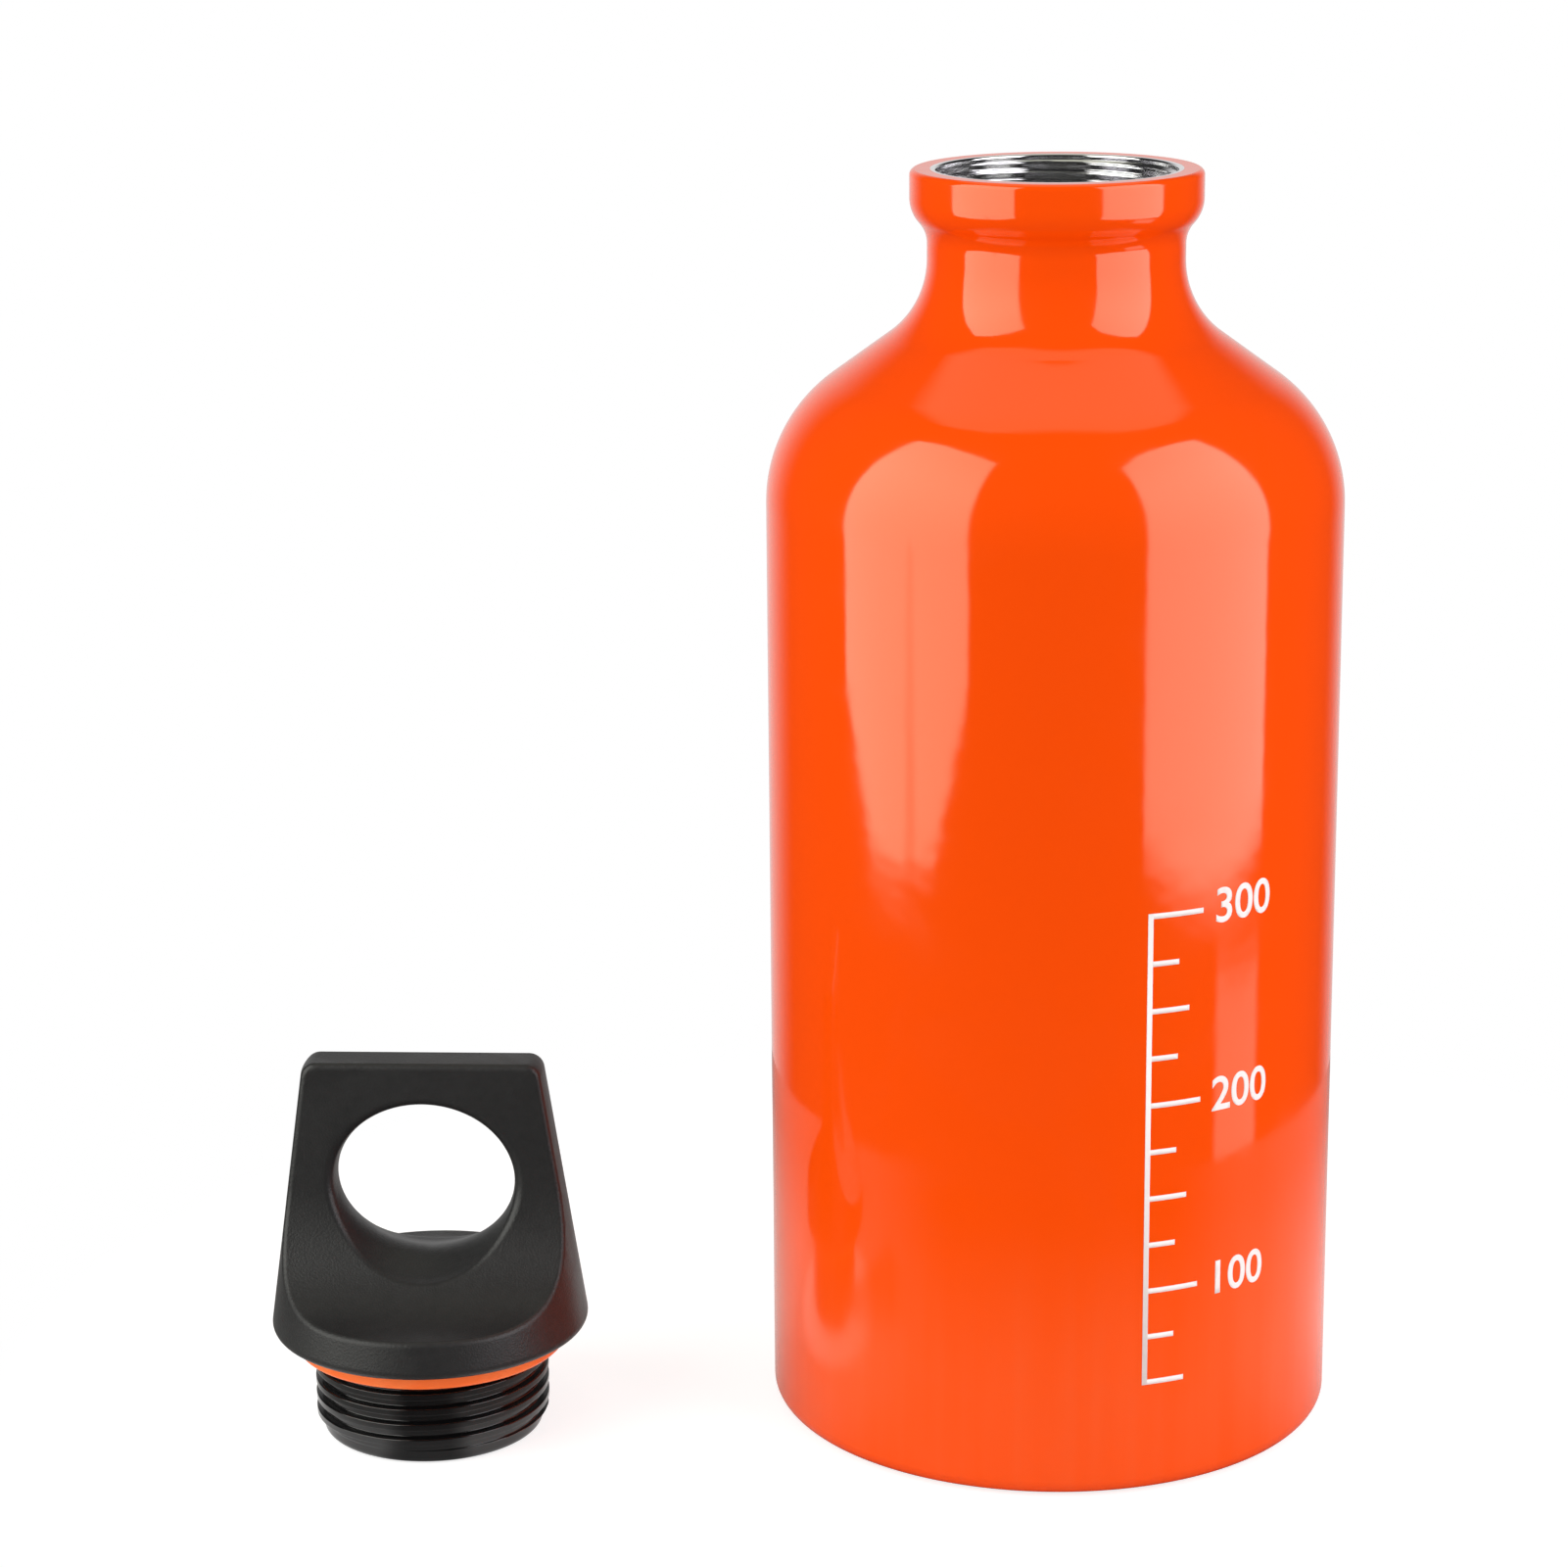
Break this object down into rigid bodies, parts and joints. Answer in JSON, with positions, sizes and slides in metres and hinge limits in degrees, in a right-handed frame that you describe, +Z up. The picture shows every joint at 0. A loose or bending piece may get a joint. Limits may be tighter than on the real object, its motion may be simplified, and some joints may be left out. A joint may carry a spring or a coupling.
{
  "type": "camping fuel bottle",
  "caption": "Round-shouldered aluminium bottle with a collared threaded mouth, and a plastic screw cap with a finger hole and a sealing ring, taken off and standing beside it.",
  "frame": {"origin": "centre of the bottle's foot, on the surface that the bottle and its cap stand on", "axes": "+Z up along the bottle's axis, out of its mouth; the cap stands on the -X side, with the broad faces of its handle towards -Y and +Y"},
  "size_m": [0.1394, 0.0734, 0.1634],
  "materials": {
    "body_paint": "gloss",
    "bare_aluminium": "polished",
    "handle_plastic": "matte",
    "plug_plastic": "gloss",
    "seal_rubber": "satin"
  },
  "bodies": {
    "bottle": {"bottle_shell": "body_paint", "neck_ring": "bare_aluminium"},
    "seal": {"sealing_ring": "seal_rubber"},
    "cap": {"cap_handle": "handle_plastic", "threaded_plug": "plug_plastic"}
  },
  "joints": [
    {"name": "cap_lift", "type": "slide", "parent": "bottle", "child": "seal", "axis": [0, 0, 1], "range_m": [0, 0.17]},
    {"name": "cap_turn", "type": "hinge", "parent": "seal", "child": "cap", "pos_m": [-0.082, -0.01, 0.0139], "axis": [0, 0, 1], "continuous": true}
  ]
}
